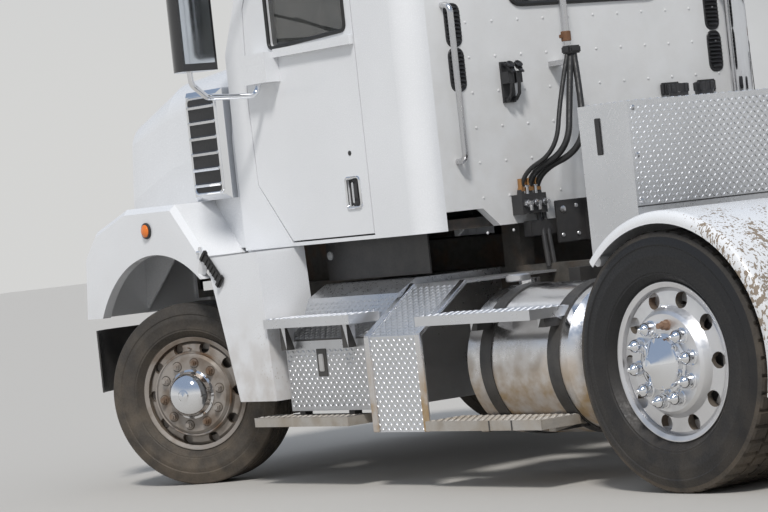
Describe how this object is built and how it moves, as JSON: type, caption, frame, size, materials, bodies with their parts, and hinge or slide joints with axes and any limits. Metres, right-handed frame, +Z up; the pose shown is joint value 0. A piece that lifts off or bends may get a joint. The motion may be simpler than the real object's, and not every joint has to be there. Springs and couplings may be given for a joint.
{
  "type": "semi truck tractor unit",
  "caption": "Conventional day-cab tractor unit with tilting hood, opening doors, steered front wheels, tandem drive axles and a tilting fifth wheel.",
  "frame": {"origin": "on the ground, at the centre of the bounding box in plan", "axes": "+X forward along the truck, +Y to its left, +Z up"},
  "size_m": [6.2098, 2.935, 3.05],
  "materials": {
    "paint": "gloss white, dusty",
    "frame": "satin black, dusty",
    "black_metal": "satin black",
    "black_gloss": "gloss black",
    "chrome": "bright",
    "polished": "polished, dirty",
    "tread_plate": "embossed bright plate, dirty",
    "steel": "brushed",
    "cast": "rough, dusty",
    "rubber": "matt",
    "tyre": "dusty",
    "glass": "tinted",
    "lamp_glass": "clear",
    "red_lens": "lens red",
    "trim_plastic": "grained",
    "fabric": "woven"
  },
  "bodies": {
    "chassis_and_cab": {"frame_rails": "frame", "crossmembers": "frame", "front_bumper": "black_metal", "engine_block": "cast", "front_axle": "frame", "drive_axles": "cast", "suspension": "frame", "fuel_tanks": "polished", "tank_straps": "steel", "side_boxes": "tread_plate", "step_fairings": "tread_plate", "side_steps": "tread_plate", "hydraulic_tank": "tread_plate", "rear_fenders": "paint", "fifth_wheel_mount": "frame", "mud_flaps": "rubber", "tail_lamps": "red_lens", "exhaust_stack": "chrome", "cab_sides": "paint", "cab_roof": "paint", "cab_floor": "paint", "cab_rear_wall": "paint", "cab_front": "paint", "cab_glass": "glass", "dashboard": "trim_plastic", "steering_wheel": "trim_plastic", "seats": "fabric", "cowl_flares": "paint", "grab_handles": "steel", "hose_gear": "black_metal", "air_lines": "rubber"},
    "roadwheel_front_left": {"tyre_front_left": "tyre", "wheel_front_left": "polished"},
    "roadwheel_front_right": {"tyre_front_right": "tyre", "wheel_front_right": "polished"},
    "roadwheel_mid_left": {"tyre_mid_left": "tyre", "wheel_mid_left": "polished"},
    "roadwheel_mid_right": {"tyre_mid_right": "tyre", "wheel_mid_right": "polished"},
    "roadwheel_rear_left": {"tyre_rear_left": "tyre", "wheel_rear_left": "polished"},
    "roadwheel_rear_right": {"tyre_rear_right": "tyre", "wheel_rear_right": "polished"},
    "steering_left": {"knuckle_left": "cast"},
    "steering_right": {"knuckle_right": "cast"},
    "steering_link": {"tie_rod": "frame"},
    "hood_assembly": {"hood": "paint", "grille": "chrome", "headlamps": "lamp_glass", "hood_intakes": "chrome"},
    "door_assembly_left": {"door_left": "paint", "door_glass_left": "glass", "mirror_left": "black_gloss"},
    "door_assembly_right": {"door_right": "paint", "door_glass_right": "glass", "mirror_right": "black_gloss"},
    "fifth_wheel": {"fifth_wheel_plate": "cast"}
  },
  "joints": [
    {"name": "steer_left", "type": "hinge", "parent": "chassis_and_cab", "child": "steering_left", "pos_m": [2.405, 0.885, 0.418], "axis": [0, 0, 1], "range_deg": [-75, 15]},
    {"name": "steer_right", "type": "hinge", "parent": "chassis_and_cab", "child": "steering_right", "pos_m": [2.405, -0.885, 0.418], "axis": [0, 0, 1], "range_deg": [-75, 15]},
    {"name": "tie_rod_swing", "type": "hinge", "parent": "steering_left", "child": "steering_link", "pos_m": [2.24046, 0.79, 0.278], "axis": [0, 0, 1], "range_deg": [-15, 75]},
    {"name": "spin_front_left", "type": "hinge", "parent": "steering_left", "child": "roadwheel_front_left", "pos_m": [2.2665, 1.12489, 0.418], "axis": [-0.5, 0.866, 0], "continuous": true},
    {"name": "spin_front_right", "type": "hinge", "parent": "steering_right", "child": "roadwheel_front_right", "pos_m": [2.5435, -1.12489, 0.418], "axis": [0.5, -0.866, 0], "continuous": true},
    {"name": "spin_mid_left", "type": "hinge", "parent": "chassis_and_cab", "child": "roadwheel_mid_left", "pos_m": [-1.025, 1.1855, 0.49], "axis": [0, 1, 0], "continuous": true},
    {"name": "spin_mid_right", "type": "hinge", "parent": "chassis_and_cab", "child": "roadwheel_mid_right", "pos_m": [-1.025, -1.1855, 0.49], "axis": [0, -1, 0], "continuous": true},
    {"name": "spin_rear_left", "type": "hinge", "parent": "chassis_and_cab", "child": "roadwheel_rear_left", "pos_m": [-2.345, 1.1855, 0.49], "axis": [0, 1, 0], "continuous": true},
    {"name": "spin_rear_right", "type": "hinge", "parent": "chassis_and_cab", "child": "roadwheel_rear_right", "pos_m": [-2.345, -1.1855, 0.49], "axis": [0, -1, 0], "continuous": true},
    {"name": "hood_tilt", "type": "hinge", "parent": "chassis_and_cab", "child": "hood_assembly", "pos_m": [3.015, 0, 0.765], "axis": [0, 1, 0], "range_deg": [0, 60]},
    {"name": "door_left_swing", "type": "hinge", "parent": "chassis_and_cab", "child": "door_assembly_left", "pos_m": [1.765, 1, 1.8], "axis": [0, 0, -1], "range_deg": [0, 65]},
    {"name": "door_right_swing", "type": "hinge", "parent": "chassis_and_cab", "child": "door_assembly_right", "pos_m": [1.765, -1, 1.8], "axis": [0, 0, 1], "range_deg": [0, 65]},
    {"name": "fifth_wheel_tilt", "type": "hinge", "parent": "chassis_and_cab", "child": "fifth_wheel", "pos_m": [-1.585, 0, 1.075], "axis": [0, 1, 0], "range_deg": [-15, 15]}
  ],
  "couplings": [
    {"joint": "steer_right", "follows": "steer_left", "ratio": 1},
    {"joint": "tie_rod_swing", "follows": "steer_left", "ratio": -1}
  ]
}
